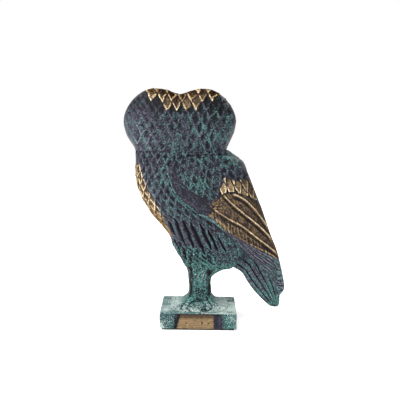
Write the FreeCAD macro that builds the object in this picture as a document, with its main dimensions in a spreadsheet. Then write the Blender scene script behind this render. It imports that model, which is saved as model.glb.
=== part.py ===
import FreeCAD, Part
import Sketcher
import os

# Owl figurine: a small statuette of brazed bronze castings on a rectangular plinth.
# The owl stands in profile, facing -X, with its head turned a quarter turn towards +Y.
# The origin is the centre of the felt pad's underside, +Z is up, sizes are in millimetres.

Vector = FreeCAD.Vector
doc = FreeCAD.newDocument("owl_figurine")


# ---------------------------------------------------------------- driving dimensions
sheet = doc.addObject("Spreadsheet::Sheet", "Sheet")

DIMENSIONS = [
    # plinth and pad
    ("pad_thick", 1.0), ("pad_inset", 1.5),
    ("plinth_length", 48.0), ("plinth_width", 46.0), ("plinth_thick", 10.0), ("plinth_edge", 1.0),
    # legs, from the plinth's top to the torso's seat
    ("leg_height", 25.0), ("leg_length", 15.6), ("leg_width", 10.4), ("leg_spread", 4.6),
    ("foot_length", 22.0), ("foot_width", 16.0), ("foot_rise", 6.5), ("foot_spread", 11.0),
    ("toe_length", 17.0), ("toe_width", 6.0), ("toe_rise", 4.0),
    ("front_toe_reach", 17.3), ("back_toe_reach", 15.3), ("outer_toe_reach", 11.6),
    # torso, from its seat on the legs to the neck joint
    ("torso_height", 75.0), ("torso_length", 75.0), ("torso_width", 36.0),
    # wings and tail
    ("wing_thick", 3.6), ("wing_drop", 18.0), ("tail_thick", 6.0), ("tail_drop", 25.6),
    # head, above the neck joint and below its middle line
    ("head_rise", 38.7), ("head_length", 71.0), ("head_width", 38.0), ("head_middle", -12.9),
    # dowels and pins
    ("head_dowel_diameter", 8.0), ("head_dowel_depth", 12.0),
    ("tail_dowel_diameter", 3.0), ("tail_dowel_depth", 10.0), ("tail_slope", 37.0),
    ("wing_pin_diameter", 3.0), ("wing_pin_inset", 5.0), ("wing_pin_reach", 2.0),
    ("plinth_pin_diameter", 3.0), ("plinth_pin_depth", 4.5),
    # fixing from below
    ("stud_diameter", 5.0), ("stud_clearance", 0.5), ("stud_tap_depth", 14.0), ("stud_end", 0.8),
    ("washer_diameter", 10.0), ("washer_thick", 1.0), ("washer_clearance", 0.3),
    ("nut_flats", 8.0), ("nut_thick", 4.0),
    ("counterbore_diameter", 15.0), ("counterbore_depth", 6.2),
]
for row, (alias, value) in enumerate(DIMENSIONS, start=1):
    sheet.set(f"A{row}", alias)
    sheet.set(f"B{row}", str(value))
    sheet.setAlias(f"B{row}", alias)
doc.recompute()

# Levels that several pieces share, as expressions on the sheet.
PLINTH_TOP = "(Sheet.pad_thick + Sheet.plinth_thick)"
TORSO_SEAT = f"({PLINTH_TOP} + Sheet.leg_height)"
NECK = f"({TORSO_SEAT} + Sheet.torso_height)"
COUNTERBORE_TOP = "(Sheet.pad_thick + Sheet.counterbore_depth)"


def size(alias):
    """Value of a cell of the sheet, in millimetres."""
    return float(getattr(sheet, alias))


# ---------------------------------------------------------------- shared makers
def bind(thing, **expressions):
    """Bind properties of an object to expressions; a double underscore stands for a dot."""
    for name, expression in expressions.items():
        thing.setExpression(name.replace("__", "."), expression)
    return thing


def place(thing, x="0", y="0", z="0"):
    """Bind an object's position to expressions."""
    return bind(thing, Placement__Base__x=x, Placement__Base__y=y, Placement__Base__z=z)


def cylinder(name, diameter, length, x="0", y="0", z="0", turn=None):
    """A cylinder whose axis is +Z, or +Z after a turn."""
    rod = doc.addObject("Part::Cylinder", name)
    bind(rod, Radius=f"{diameter} / 2", Height=length)
    if turn:
        rod.Placement.Rotation = turn
    return place(rod, x, y, z)


def loft(name, sections):
    """A solid through closed sections, smooth from one to the next."""
    skin = doc.addObject("Part::Loft", name)
    skin.Sections = sections
    skin.Solid = True
    skin.Ruled = False
    return skin


def ellipse(name, front, back, half_width, level):
    """A level ellipse from front to back along X, half_width to each side."""
    ring = doc.addObject("Part::Ellipse", name)
    bind(ring, MajorRadius=f"({back} - ({front})) / 2", MinorRadius=half_width)
    return place(ring, x=f"({back} + ({front})) / 2", z=level)


def cut(name, base, tools):
    """The base with every tool taken out of it."""
    joined = tools[0]
    if len(tools) > 1:
        joined = doc.addObject("Part::MultiFuse", f"{name}_tools")
        joined.Shapes = tools
    piece = doc.addObject("Part::Cut", name)
    piece.Base, piece.Tool = base, joined
    return piece


def origin_plane(body, role):
    """One of a body's own origin planes."""
    return next(part for part in body.Origin.OriginFeatures if part.Role == role)


def sketch_on(body, name, role, offset="0"):
    """An empty sketch on a body's origin plane, moved along the plane's normal."""
    sketch = body.newObject("Sketcher::SketchObject", name)
    sketch.AttachmentSupport = [(origin_plane(body, role), "")]
    sketch.MapMode = "FlatFace"
    sketch.setExpression("AttachmentOffset.Base.z", offset)
    return sketch


def add_outline(sketch, corners):
    """A closed outline of straight runs; each corner is a pair of expressions."""
    count = len(corners)
    points = [Vector(*[float(sheet.evalExpression(e)) for e in corner], 0) for corner in corners]
    for index in range(count):
        run = Part.LineSegment(points[index], points[(index + 1) % count])
        sketch.addGeometry(run, False)
    for index in range(count):
        sketch.addConstraint(Sketcher.Constraint("Coincident", index, 2, (index + 1) % count, 1))
    for index, (across, up) in enumerate(corners):
        for kind, expression, value in (("DistanceX", across, points[index].x),
                                        ("DistanceY", up, points[index].y)):
            number = sketch.addConstraint(Sketcher.Constraint(kind, index, 1, value))
            sketch.setExpression(f"Constraints[{number}]", expression)


def add_circle(sketch, diameter, across="0", up="0"):
    """A circle whose centre and diameter are expressions."""
    centre = Vector(float(sheet.evalExpression(across)), float(sheet.evalExpression(up)), 0)
    radius = float(sheet.evalExpression(diameter)) / 2
    circle = sketch.addGeometry(Part.Circle(centre, Vector(0, 0, 1), radius), False)
    for kind, expression, value in (("DistanceX", across, centre.x), ("DistanceY", up, centre.y)):
        number = sketch.addConstraint(Sketcher.Constraint(kind, circle, 3, value))
        sketch.setExpression(f"Constraints[{number}]", expression)
    number = sketch.addConstraint(Sketcher.Constraint("Diameter", circle, radius * 2))
    sketch.setExpression(f"Constraints[{number}]", diameter)


def pad(body, name, sketch, length):
    """A pad along the sketch's normal."""
    feature = body.newObject("PartDesign::Pad", name)
    feature.Profile = sketch
    feature.setExpression("Length", length)
    sketch.Visibility = False
    return feature


def rectangle_corners(length, width):
    """Corners of a rectangle about the origin, as expressions."""
    return [(f"{sx} * ({length}) / 2", f"{sy} * ({width}) / 2")
            for sx, sy in ((-1, -1), (1, -1), (1, 1), (-1, 1))]


def pocket(body, name, sketch, length, against_normal=True):
    """A pocket that has to take metal away."""
    before = body.Tip.Shape.Volume
    feature = body.newObject("PartDesign::Pocket", name)
    feature.Profile = sketch
    feature.Reversed = not against_normal
    feature.setExpression("Length", length)
    sketch.Visibility = False
    doc.recompute()
    if not feature.Shape.Volume < before:
        raise ValueError(f"{name} cuts nothing")
    return feature


# ---------------------------------------------------------------- base pad
# Felt, cut a little smaller than the plinth and glued over its underside.
base_pad = doc.addObject("PartDesign::Body", "base_pad")
pad_sketch = sketch_on(base_pad, "base_pad_outline", "XY_Plane")
add_outline(pad_sketch, rectangle_corners("Sheet.plinth_length - 2 * Sheet.pad_inset",
                                          "Sheet.plinth_width - 2 * Sheet.pad_inset"))
pad(base_pad, "base_pad_sheet", pad_sketch, "Sheet.pad_thick")

# ---------------------------------------------------------------- plinth
# A cast block with rounded upright and upper edges, bored and counterbored for the stud.
plinth = doc.addObject("PartDesign::Body", "plinth")
block_sketch = sketch_on(plinth, "plinth_outline", "XY_Plane", "Sheet.pad_thick")
add_outline(block_sketch, rectangle_corners("Sheet.plinth_length", "Sheet.plinth_width"))
block = pad(plinth, "plinth_block", block_sketch, "Sheet.plinth_thick")
doc.recompute()
upper_edges = [f"Edge{number}" for number, edge in enumerate(block.Shape.Edges, start=1)
               if edge.BoundBox.ZMax > size("pad_thick") + size("plinth_edge")]
rounding = plinth.newObject("PartDesign::Fillet", "plinth_rounding")
rounding.Base = (block, upper_edges)
rounding.setExpression("Radius", "Sheet.plinth_edge")
doc.recompute()
recess_sketch = sketch_on(plinth, "counterbore_outline", "XY_Plane", "Sheet.pad_thick")
add_circle(recess_sketch, "Sheet.counterbore_diameter")
pocket(plinth, "counterbore", recess_sketch, "Sheet.counterbore_depth", against_normal=False)
bore_sketch = sketch_on(plinth, "stud_bore_outline", "XY_Plane", "Sheet.pad_thick")
add_circle(bore_sketch, "Sheet.stud_diameter + Sheet.stud_clearance")
pocket(plinth, "stud_bore", bore_sketch, "Sheet.plinth_thick", against_normal=False)
pin_bore_sketch = sketch_on(plinth, "pin_bore_outline", "XY_Plane", PLINTH_TOP)
add_circle(pin_bore_sketch, "Sheet.plinth_pin_diameter", up="Sheet.foot_spread")
pocket(plinth, "pin_bore", pin_bore_sketch, "Sheet.plinth_pin_depth")

# ---------------------------------------------------------------- stud, washer and nut
# Steel stud, screwed into the torso through the legs, with its washer and nut in the plinth.
leg_stud = doc.addObject("PartDesign::Body", "leg_stud")
STUD_FOOT = "(Sheet.pad_thick + Sheet.stud_end)"
stud_sketch = sketch_on(leg_stud, "stud_outline", "XY_Plane", STUD_FOOT)
add_circle(stud_sketch, "Sheet.stud_diameter")
pad(leg_stud, "stud_rod", stud_sketch, f"{TORSO_SEAT} + Sheet.stud_tap_depth - {STUD_FOOT}")

washer = doc.addObject("PartDesign::Body", "washer")
WASHER_FOOT = f"({COUNTERBORE_TOP} - Sheet.washer_thick)"
washer_sketch = sketch_on(washer, "washer_outline", "XY_Plane", WASHER_FOOT)
add_circle(washer_sketch, "Sheet.washer_diameter")
add_circle(washer_sketch, "Sheet.stud_diameter + Sheet.washer_clearance")
pad(washer, "washer_ring", washer_sketch, "Sheet.washer_thick")

NUT_FOOT = f"({WASHER_FOOT} - Sheet.nut_thick)"
nut_blank = doc.addObject("Part::Prism", "nut_blank")
nut_blank.Polygon = 6
bind(nut_blank, Circumradius="Sheet.nut_flats / sqrt(3)", Height="Sheet.nut_thick")
place(nut_blank, z=NUT_FOOT)
nut_bore = cylinder("nut_bore", "Sheet.stud_diameter", "Sheet.nut_thick", z=NUT_FOOT)
hex_nut = cut("hex_nut", nut_blank, [nut_bore])

# ---------------------------------------------------------------- plinth pin
# A steel pin half in the plinth and half in the right foot, so that the figure can't turn.
plinth_pin = cylinder("plinth_pin", "Sheet.plinth_pin_diameter", "2 * Sheet.plinth_pin_depth",
                      y="Sheet.foot_spread", z=f"{PLINTH_TOP} - Sheet.plinth_pin_depth")

# ---------------------------------------------------------------- legs and feet
# One casting: two feathered legs run together, and two feet with three toes each in sight.
# Each leg section: share of the leg's height, front and back as shares of its length, bulk.
LEG_SECTIONS = [(0.0, -0.48, 0.55, 1.0), (0.32, -0.45, 0.55, 1.0), (0.56, -0.42, 0.52, 0.94),
                (0.80, -0.45, 0.58, 0.97), (1.0, -0.51, 0.70, 1.0)]


def half_ellipsoid(name, length, width, rise, x, y, quarter_turns=0):
    """The upper half of an ellipsoid that stands on the plinth."""
    half = doc.addObject("Part::Ellipsoid", name)
    bind(half, Radius1=rise, Radius2=f"{length} / 2", Radius3=f"{width} / 2")
    half.Angle1 = 0
    half.Placement.Rotation = FreeCAD.Rotation(Vector(0, 0, 1), 90 * quarter_turns)
    return place(half, x, y, PLINTH_TOP)


casting = []
for side, name in ((-1, "left"), (1, "right")):
    rings = []
    for number, (rise, front, back, bulk) in enumerate(LEG_SECTIONS, start=1):
        ring = ellipse(f"{name}_leg_ring_{number}", f"{front} * Sheet.leg_length",
                       f"{back} * Sheet.leg_length", f"{bulk} * Sheet.leg_width / 2",
                       f"{PLINTH_TOP} + {rise} * Sheet.leg_height")
        rings.append(bind(ring, Placement__Base__y=f"{side} * Sheet.leg_spread"))
    casting.append(loft(f"{name}_leg", rings))
    casting.append(half_ellipsoid(f"{name}_foot", "Sheet.foot_length", "Sheet.foot_width",
                                  "Sheet.foot_rise", "0", f"{side} * Sheet.foot_spread"))
    # Every toe's tip stands its reach from the middle of the foot.
    for toe, along, outward in (("front_toe", -1, 0), ("back_toe", 1, 0), ("outer_toe", 0, 1)):
        middle = f"(Sheet.{toe}_reach - Sheet.toe_length / 2)"
        casting.append(half_ellipsoid(f"{name}_{toe}", "Sheet.toe_length", "Sheet.toe_width",
                                      "Sheet.toe_rise", f"{along} * {middle}",
                                      f"{side} * (Sheet.foot_spread + {outward} * {middle})",
                                      quarter_turns=outward))
legs_form = doc.addObject("Part::MultiFuse", "legs_form")
legs_form.Shapes = casting
leg_bore = cylinder("leg_bore", "Sheet.stud_diameter + Sheet.stud_clearance",
                    "Sheet.leg_height", z=PLINTH_TOP)
legs_and_feet = cut("legs_and_feet", legs_form, [leg_bore, plinth_pin])

# ---------------------------------------------------------------- torso
# Breast, belly, thighs and rump in one casting, a loft of level ellipses.
# Each section: share of the height, front and back as shares of the length, bulk of the width.
TORSO_SECTIONS = [(0.0, -0.113, 0.28, 0.264), (0.08, -0.16, 0.353, 0.32),
                  (0.16, -0.204, 0.413, 0.36), (0.28, -0.264, 0.48, 0.417),
                  (0.43, -0.383, 0.507, 0.472), (0.59, -0.484, 0.487, 0.5),
                  (0.76, -0.535, 0.427, 0.489), (0.90, -0.543, 0.347, 0.453),
                  (1.0, -0.547, 0.231, 0.417)]


def torso_x(share):
    """Place along the torso, ahead of the stud or behind it."""
    return f"({share} * Sheet.torso_length)"


def torso_z(share, drop="Sheet.wing_drop"):
    """Level above the torso's seat, or below it by a share of a drop."""
    return f"({TORSO_SEAT} + {share} * {'Sheet.torso_height' if share >= 0 else drop})"


torso_form = loft("torso_form", [
    ellipse(f"torso_ring_{number}", torso_x(front), torso_x(back), f"{bulk} * Sheet.torso_width",
            torso_z(rise))
    for number, (rise, front, back, bulk) in enumerate(TORSO_SECTIONS, start=1)])

# ---------------------------------------------------------------- dowels and wing pins
# Bronze rod, each piece half in one casting and half in the next, then brazed over.
head_dowel = cylinder("head_dowel", "Sheet.head_dowel_diameter", "2 * Sheet.head_dowel_depth",
                      x="Sheet.head_middle", z=f"{NECK} - Sheet.head_dowel_depth")

TAIL_JOINT = (0.393, 0.133)     # where the tail's dowel leaves the rump, as torso shares
tail_dowel = cylinder("tail_dowel", "Sheet.tail_dowel_diameter", "2 * Sheet.tail_dowel_depth")
tail_dowel.setExpression("Placement.Rotation.Axis.y", "1")
tail_dowel.setExpression("Placement.Rotation.Angle", "-Sheet.tail_slope")
place(tail_dowel, x=f"{torso_x(TAIL_JOINT[0])} + Sheet.tail_dowel_depth * sin(Sheet.tail_slope)",
      z=f"{torso_z(TAIL_JOINT[1])} - Sheet.tail_dowel_depth * cos(Sheet.tail_slope)")

WING_PIN_PLACES = [(-0.053, 0.75), (0.107, 0.56)]       # as torso shares
TO_SIDE = {-1: FreeCAD.Rotation(Vector(1, 0, 0), 90), 1: FreeCAD.Rotation(Vector(1, 0, 0), -90)}
wing_pins = {}
for side, name in ((-1, "left"), (1, "right")):
    rods = [cylinder(f"{name}_wing_pin_{number}", "Sheet.wing_pin_diameter",
                     "Sheet.wing_pin_inset + Sheet.wing_pin_reach", x=torso_x(along),
                     y=f"{side} * (Sheet.torso_width / 2 - Sheet.wing_pin_inset)",
                     z=torso_z(rise), turn=TO_SIDE[side])
            for number, (along, rise) in enumerate(WING_PIN_PLACES, start=1)]
    wing_pins[name] = doc.addObject("Part::Compound", f"{name}_wing_pins")
    wing_pins[name].Links = rods

stud_tap = cylinder("stud_tap", "Sheet.stud_diameter", "Sheet.stud_tap_depth", z=TORSO_SEAT)
torso = cut("torso", torso_form,
            [stud_tap, head_dowel, tail_dowel, wing_pins["left"], wing_pins["right"]])

# ---------------------------------------------------------------- tail
# A flat blade between the wings' tips, butted on the rump.
TAIL_CORNERS = [(0.227, 0.08), (0.453, 0.38), (0.593, 0.253), (0.697, -0.234), (0.692, -1.0),
                (0.62, -1.0), (0.551, -0.848), (0.409, -0.363), (0.30, -0.031)]
tail_blank = doc.addObject("PartDesign::Body", "tail_blank")
tail_sketch = sketch_on(tail_blank, "tail_outline", "XZ_Plane")
add_outline(tail_sketch, [(torso_x(along), torso_z(rise, "Sheet.tail_drop"))
                          for along, rise in TAIL_CORNERS])
tail_pad = pad(tail_blank, "tail_blade", tail_sketch, "Sheet.tail_thick")
tail_pad.SideType = "Symmetric"
tail = cut("tail", tail_blank, [torso_form, tail_dowel])

# ---------------------------------------------------------------- wings
# Each wing is a shell over the torso's side that runs on as a blade beside the tail.
# Sections as the torso's, but standing proud of it by the wing's thickness.
WING_SECTIONS = [(0.99, -0.213, 0.24, 0.289), (0.907, -0.32, 0.35, 0.453),
                 (0.76, -0.40, 0.437, 0.494), (0.587, -0.40, 0.497, 0.5),
                 (0.427, -0.32, 0.563, 0.456), (0.28, -0.133, 0.62, 0.361),
                 (0.133, 0.08, 0.672, 0.247), (-0.06, 0.267, 0.717, 0.164),
                 (-0.78, 0.48, 0.737, 0.094), (-1.1, 0.56, 0.725, 0.067)]
WING_CORNERS = [(-0.271, 0.803), (-0.245, 0.893), (-0.197, 0.944), (-0.108, 0.968),
                (0.10, 0.984), (0.253, 0.96), (0.40, 0.907), (0.80, 0.85), (0.80, -0.5),
                (0.737, -0.80), (0.679, -1.0), (0.66, -0.75), (0.552, -0.167), (0.425, 0.127),
                (0.295, 0.293), (0.152, 0.408), (0.0, 0.475), (-0.105, 0.564), (-0.211, 0.669)]
wing_form = loft("wing_form", [
    ellipse(f"wing_ring_{number}", torso_x(front), torso_x(back),
            f"{bulk} * Sheet.torso_width + Sheet.wing_thick", torso_z(rise))
    for number, (rise, front, back, bulk) in enumerate(WING_SECTIONS, start=1)])
wing_blank = doc.addObject("PartDesign::Body", "wing_blank")
wing_sketch = sketch_on(wing_blank, "wing_outline", "XZ_Plane", "Sheet.tail_thick / 2")
add_outline(wing_sketch, [(torso_x(along), torso_z(rise)) for along, rise in WING_CORNERS])
pad(wing_blank, "wing_block", wing_sketch, "Sheet.torso_width")
wing_plate = doc.addObject("Part::MultiCommon", "wing_plate")
wing_plate.Shapes = [wing_blank, wing_form]
left_wing = cut("left_wing", wing_plate, [torso_form, wing_pins["left"]])
right_wing = doc.addObject("Part::Mirroring", "right_wing")
right_wing.Source = left_wing
right_wing.Base = Vector(0, 0, 0)
right_wing.Normal = Vector(0, 1, 0)

# ---------------------------------------------------------------- head
# A pillow-shaped head, two-lobed with a notch between, cut flat at the neck joint.
# Half of its outline, from the notch to the foot: shares of the half length and of the rise.
HEAD_OUTLINE = [(0.0, 0.91), (0.225, 0.972), (0.487, 0.997), (0.724, 0.907), (0.927, 0.713),
                (1.0, 0.517), (0.969, 0.32), (0.882, 0.124), (0.825, 0.0), (0.62, -0.233),
                (0.0, -0.413)]
HEAD_STATIONS = (-0.97, -0.9, -0.72, -0.42, 0.0, 0.42, 0.72, 0.9, 0.97)   # of the half width
HEAD_CENTRE_RISE = 0.44         # share of the rise that the outline shrinks towards


def level(expression):
    """Value of an expression on the sheet."""
    return float(sheet.evalExpression(expression))


def head_outline(station):
    """Closed outline of the head at a share of its half width: the widest one, shrunk."""
    shrink = (1 - station ** 2) ** 0.5
    half_length, rise = size("head_length") / 2, size("head_rise")
    centre = level(NECK) + HEAD_CENTRE_RISE * rise
    halves = []
    for side in (1, -1):
        halves.append([Vector(size("head_middle") + side * x * half_length * shrink,
                              station * size("head_width") / 2,
                              centre + (z - HEAD_CENTRE_RISE) * rise * shrink)
                       for x, z in HEAD_OUTLINE])
    edges = []
    for points in (halves[0], halves[1][::-1]):
        curve = Part.BSplineCurve()
        curve.interpolate(points)
        edges.append(curve.toShape())
    return Part.Wire(edges)


head_form = doc.addObject("Part::Feature", "head_form")
head_solid = Part.makeLoft([head_outline(station) for station in HEAD_STATIONS], True)
under_neck = Part.makeBox(2 * size("head_length"), 2 * size("head_width"), size("head_rise"),
                          Vector(size("head_middle") - size("head_length"),
                                 -size("head_width"), level(NECK) - size("head_rise")))
head_form.Shape = head_solid.cut(under_neck)
head = cut("head", head_form, [head_dowel])

# ---------------------------------------------------------------- checks and export
NODES = {
    "base_pad": base_pad, "plinth": plinth, "leg_stud": leg_stud, "washer": washer,
    "hex_nut": hex_nut, "plinth_pin": plinth_pin, "legs_and_feet": legs_and_feet,
    "torso": torso, "head_dowel": head_dowel, "tail_dowel": tail_dowel,
    "left_wing_pins": wing_pins["left"], "right_wing_pins": wing_pins["right"],
    "tail": tail, "left_wing": left_wing, "right_wing": right_wing, "head": head,
}
doc.recompute()
for thing in doc.Objects:
    if "Invalid" in thing.State or "Error" in thing.State:
        raise ValueError(f"{thing.Name} has failed: {thing.State}")
os.makedirs("parts", exist_ok=True)
for node, piece in NODES.items():
    piece.Label = node
    shape = piece.Shape
    if shape.isNull() or not shape.isValid() or not shape.Solids:
        raise ValueError(f"{node} has no sound solid")
    shape.exportStep(f"parts/{node}.step")
    box = shape.BoundBox
    print(f"{node:16s} solids {len(shape.Solids)}  volume {shape.Volume:9.1f}  "
          f"x {box.XMin:6.1f} {box.XMax:6.1f}  y {box.YMin:6.1f} {box.YMax:6.1f}  "
          f"z {box.ZMin:6.1f} {box.ZMax:6.1f}")
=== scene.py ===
import bpy
import numpy as np
from mathutils import Matrix, Vector


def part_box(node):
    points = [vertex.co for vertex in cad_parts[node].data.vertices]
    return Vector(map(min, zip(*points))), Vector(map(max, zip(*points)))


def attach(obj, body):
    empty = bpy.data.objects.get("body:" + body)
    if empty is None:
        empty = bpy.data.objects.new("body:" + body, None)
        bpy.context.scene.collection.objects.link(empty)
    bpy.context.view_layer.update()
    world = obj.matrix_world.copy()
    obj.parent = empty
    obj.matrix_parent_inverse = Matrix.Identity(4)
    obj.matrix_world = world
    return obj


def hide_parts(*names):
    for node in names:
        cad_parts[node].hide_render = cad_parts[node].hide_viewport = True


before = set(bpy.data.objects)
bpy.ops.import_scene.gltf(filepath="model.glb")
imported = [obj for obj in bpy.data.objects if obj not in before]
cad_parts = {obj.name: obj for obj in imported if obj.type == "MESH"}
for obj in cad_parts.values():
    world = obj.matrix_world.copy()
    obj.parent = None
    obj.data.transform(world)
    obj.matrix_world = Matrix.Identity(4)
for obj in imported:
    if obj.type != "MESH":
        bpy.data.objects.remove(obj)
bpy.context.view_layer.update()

# ------------------------------
# Felt pad and steel fixing. The pad is pressed wool felt, cut a little smaller than the
# plinth and glued under it; the stud, nut, washer and pins inside are plated or plain rod.
# ------------------------------


def linear(sheet_colour):
    """Linear colour of an sRGB hex value: each channel to the power of the sRGB curve."""
    channels = [int(sheet_colour[i:i + 2], 16) / 255 for i in (1, 3, 5)]
    return [c / 12.92 if c < 0.04045 else ((c + 0.055) / 1.055) ** 2.4 for c in channels] + [1.0]


def add(tree, kind, inputs, **settings):
    """One node with its settings; inputs gives each socket a value or another node's output."""
    made = tree.nodes.new(kind)
    for name, value in settings.items():
        setattr(made, name, value)
    for socket, value in inputs.items():
        if isinstance(value, bpy.types.NodeSocket):
            tree.links.new(value, made.inputs[socket])
        else:
            made.inputs[socket].default_value = value
    return made


def placed(name, data):
    """A new object with that data, linked to the scene."""
    made = bpy.data.objects.new(name, data)
    bpy.context.scene.collection.objects.link(made)
    return made


def material(name):
    """An empty material with its shader, and the tree that holds them."""
    made = bpy.data.materials.new(name)
    made.use_nodes = True
    tree = made.node_tree
    return made, tree, tree.nodes["Principled BSDF"]


def grained(name, first, second, scale, detail=2.0):
    """A material whose colour goes by noise between two; with its tree, shader and noise."""
    made, tree, shader = material(name)
    place = add(tree, "ShaderNodeTexCoord", {}).outputs["Object"]
    grain = add(tree, "ShaderNodeTexNoise",
                {"Vector": place, "Scale": scale, "Detail": detail}).outputs["Fac"]
    shade = add(tree, "ShaderNodeMix", {0: grain, 6: linear(first), 7: linear(second)},
                data_type="RGBA").outputs[2]
    tree.links.new(shade, shader.inputs["Base Color"])
    return made, tree, shader, grain


# Pressed wool felt: a flat matt mat of short fibres, with a faint fuzz of sheen.
FELT_FIBRE, NAP_DEPTH = 0.0006, 0.0002  # metres, coarser than real fibres so that they show
felt, tree, shader, fibres = grained("pressed_wool_felt", "#16211d", "#24352e", 1 / FELT_FIBRE, 3.0)
nap = add(tree, "ShaderNodeBump", {"Height": fibres, "Strength": 0.5, "Distance": NAP_DEPTH})
tree.links.new(nap.outputs[0], shader.inputs["Normal"])
shader.inputs["Roughness"].default_value = 0.95
shader.inputs["Sheen Weight"].default_value = 0.3

# Zinc plate on steel is a cool grey, dull where the plate is crystalline; drawn bronze rod is
# warm, with a fine grain. Each has its two colours, the size of its grain and its roughness.
METALS = (("zinc_plated_steel", "#c9ccd0", "#a9adb2", 1 / 900, 0.4,
           ("leg_stud", "washer", "hex_nut", "plinth_pin")),
          ("drawn_bronze_rod", "#c39a5f", "#9a7442", 1 / 1400, 0.35,
           ("head_dowel", "tail_dowel", "left_wing_pins", "right_wing_pins")))
finishes = {"base_pad": felt}
for name, light, dark, grain, dullness, nodes in METALS:
    metal, tree, shader, _ = grained(name, light, dark, 1 / grain)
    shader.inputs["Metallic"].default_value = 1.0
    shader.inputs["Roughness"].default_value = dullness
    finishes.update(dict.fromkeys(nodes, metal))
for node, finish in finishes.items():
    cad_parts[node].data.materials.clear()
    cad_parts[node].data.materials.append(finish)

# ------------------------------
# Plinth. A sand-cast bronze block with rounded, slightly uneven edges; its top holds a pale
# crust of verdigris, and a plain field on its front has been rubbed back to the brass.
# ------------------------------
MM = 0.001


def step(value, low, high):
    """Smooth step from 0 at low to 1 at high: 3 t squared less 2 t cubed."""
    t = np.clip((value - low) / (high - low), 0, 1)
    return t * t * (3 - 2 * t)


def within(value, start, full, still, end):
    """Window: a smooth step up from start to full, and one down from still to end."""
    return step(value, start, full) * step(value, end, still)


def bell(value, centre, width):
    """Bell from 0 up to 1 at the centre: e to the minus square of the distance in widths."""
    return np.exp(-((value - centre) / width)**2)


def through(at, stations, values):
    """Value at each place of a cubic Hermite curve through the stations.

    Each station's slope is the straight slope between its two neighbours."""
    stations, values = np.asarray(stations, float), np.asarray(values, float)
    slopes = np.gradient(values, stations)
    run = np.clip(np.searchsorted(stations, at) - 1, 0, len(stations) - 2)
    gap = stations[run + 1] - stations[run]
    t = np.clip((at - stations[run]) / gap, 0, 1)
    return ((2 * t**3 - 3 * t**2 + 1) * values[run] + (3 * t**2 - 2 * t**3) * values[run + 1]
            + gap * ((t**3 - 2 * t**2 + t) * slopes[run] + (t**3 - t**2) * slopes[run + 1]))


def rough(points, grain, seed):
    """Smooth random height from -1 to 1: random values on a cubic lattice of that grain.

    Each point blends the eight values round it by smooth steps along the three axes."""
    lattice = np.random.default_rng(seed).uniform(-1, 1, (32, 32, 32))
    cell = np.floor(points / grain).astype(int)
    t = points / grain - cell
    t = t * t * (3 - 2 * t)
    total = 0
    for corner in np.ndindex(2, 2, 2):
        share = np.prod(np.where(corner, t, 1 - t), axis=-1)
        i, j, k = np.moveaxis((cell + corner) % 32, -1, 0)
        total = total + share * lattice[i, j, k]
    return total


def outward(rings):
    """Unit normals of a closed skin of rings: the cross product of its two grid directions."""
    along = np.gradient(rings, axis=0)
    across = np.roll(rings, -1, axis=1) - np.roll(rings, 1, axis=1)
    normal = np.cross(along, across)
    normal /= np.maximum(np.linalg.norm(normal, axis=-1, keepdims=True), 1e-9)
    return normal * (1 if enclosed(rings) > 0 else -1)


def enclosed(rings):
    """Signed volume inside a skin of rings: a third of position times area, added up."""
    along = np.gradient(rings, axis=0)
    across = (np.roll(rings, -1, axis=1) - np.roll(rings, 1, axis=1)) / 2
    middle = rings.mean((0, 1))
    return float(((rings - middle) * np.cross(along, across)).sum()) / 3


def softened(field, passes):
    """A field with its neighbours blended in, round the rings and along them."""
    for _ in range(passes):
        field = (np.roll(field, 1, axis=1) + 2 * field + np.roll(field, -1, axis=1)) / 4
        padded = np.pad(field, ((1, 1), (0, 0)), mode="edge")
        field = (padded[:-2] + 2 * field + padded[2:]) / 4
    return field


def skin(name, rings, marks):
    """A closed mesh through rings of points in millimetres, a fan closing each end.

    Marks are fields on the same grid, kept as point attributes for the material."""
    rows, count = rings.shape[:2]
    points = np.concatenate([rings.reshape(-1, 3), rings[:1].mean(1), rings[-1:].mean(1)]) * MM
    low = np.arange(rows - 1)[:, None] * count
    near, far = np.arange(count)[None, :], (np.arange(count)[None, :] + 1) % count
    quads = np.stack([low + near, low + far, low + count + far, low + count + near], -1)
    quads = quads.reshape(-1, 4)
    first = np.stack([np.full(count, rows * count), far[0], near[0]], -1)
    last = np.stack([np.full(count, rows * count + 1), quads[-count:, 3], quads[-count:, 2]], -1)
    if enclosed(rings) < 0:
        quads, first, last = quads[:, ::-1], first[:, ::-1], last[:, ::-1]
    corners = np.concatenate([quads.ravel(), first.ravel(), last.ravel()]).astype(np.int32)
    sizes = np.concatenate([np.full(len(quads), 4), np.full(2 * count, 3)]).astype(np.int32)
    mesh = bpy.data.meshes.new(name)
    mesh.vertices.add(len(points))
    mesh.vertices.foreach_set("co", points.astype(np.float32).ravel())
    mesh.loops.add(len(corners))
    mesh.loops.foreach_set("vertex_index", corners)
    mesh.polygons.add(len(sizes))
    mesh.polygons.foreach_set("loop_start", (np.cumsum(sizes) - sizes).astype(np.int32))
    mesh.polygons.foreach_set("loop_total", sizes)
    mesh.update(calc_edges=True)
    mesh.polygons.foreach_set("use_smooth", np.ones(len(sizes), bool))
    for mark, field in marks.items():
        values = np.concatenate([field.ravel(), [field[0].mean()], [field[-1].mean()]])
        layer = mesh.attributes.new(mark, "FLOAT", "POINT")
        layer.data.foreach_set("value", values.astype(np.float32))
    mesh.validate()
    return placed(name, mesh)


CREST_RELIEF, CREST_LOW, CREST_HIGH = 0.35, -1.5, 2.2  # millimetres to a crest, and its limits


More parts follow.
